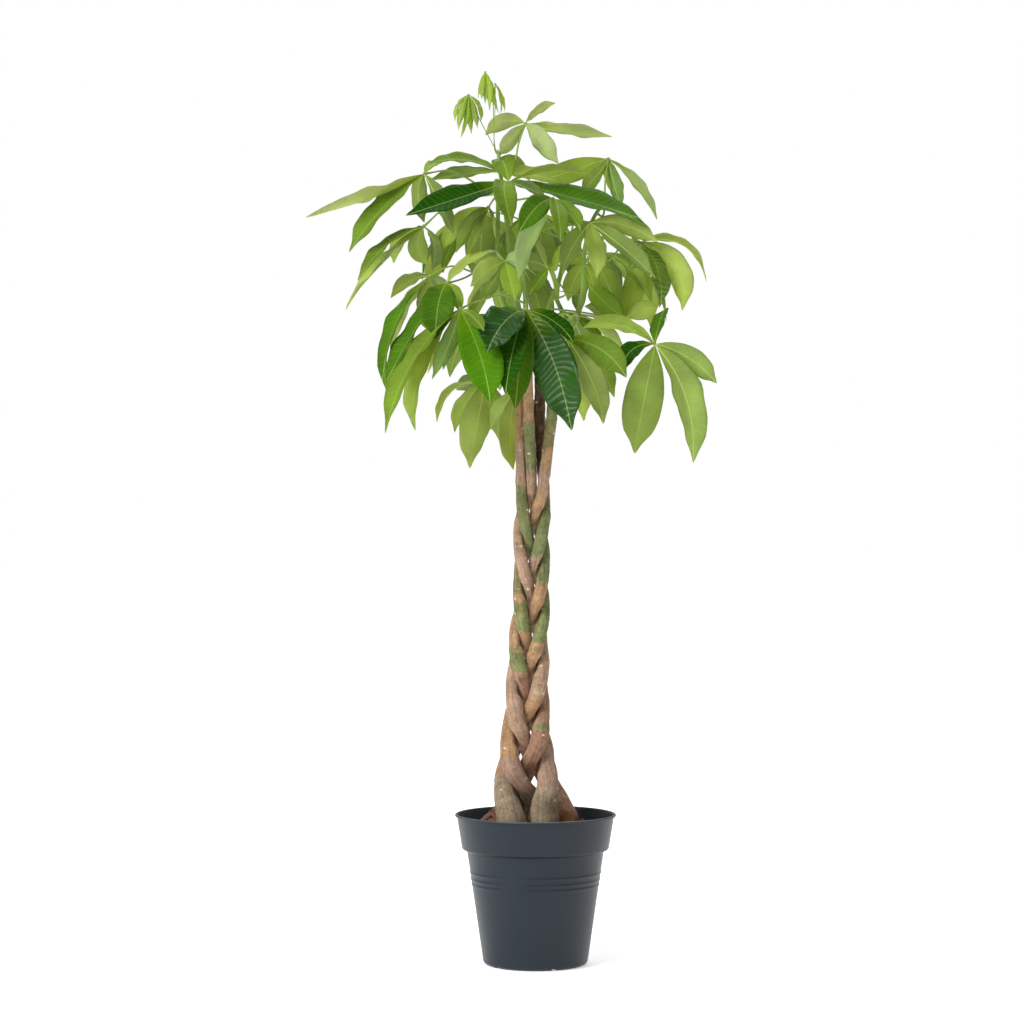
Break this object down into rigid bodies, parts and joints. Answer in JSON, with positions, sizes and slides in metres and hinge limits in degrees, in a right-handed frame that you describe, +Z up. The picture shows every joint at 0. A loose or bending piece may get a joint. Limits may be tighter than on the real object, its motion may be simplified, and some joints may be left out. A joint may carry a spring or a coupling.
{
  "type": "potted money tree",
  "caption": "Braided-trunk money tree with palmate leafy shoots, standing in soil in a tapered nursery pot with a deep collar and fine ribs.",
  "frame": {"origin": "centre of the pot's flat foot, on the surface that the pot stands on", "axes": "+Z up along the pot's axis, -Y towards the viewer, +X to the viewer's right"},
  "size_m": [0.605, 0.4766, 1.3324],
  "materials": {
    "pot_plastic": "moulded polypropylene, dark slate grey, satin",
    "soil": "loose reddish-brown peat compost, matt",
    "bark": "thin young bark, pinkish tan with green and grey patches, matt",
    "leaf": "living leaf, dark glossy above, paler and duller below"
  },
  "bodies": {
    "root": {"pot": "pot_plastic", "soil": "soil", "stem_1": "bark", "stem_2": "bark", "stem_3": "bark", "stem_4": "bark", "stem_5": "bark", "leafy_shoot_front": "leaf", "leafy_shoot_left": "leaf", "leafy_shoot_top": "leaf", "leafy_shoot_right": "leaf", "leafy_shoot_back": "leaf"}
  },
  "joints": []
}
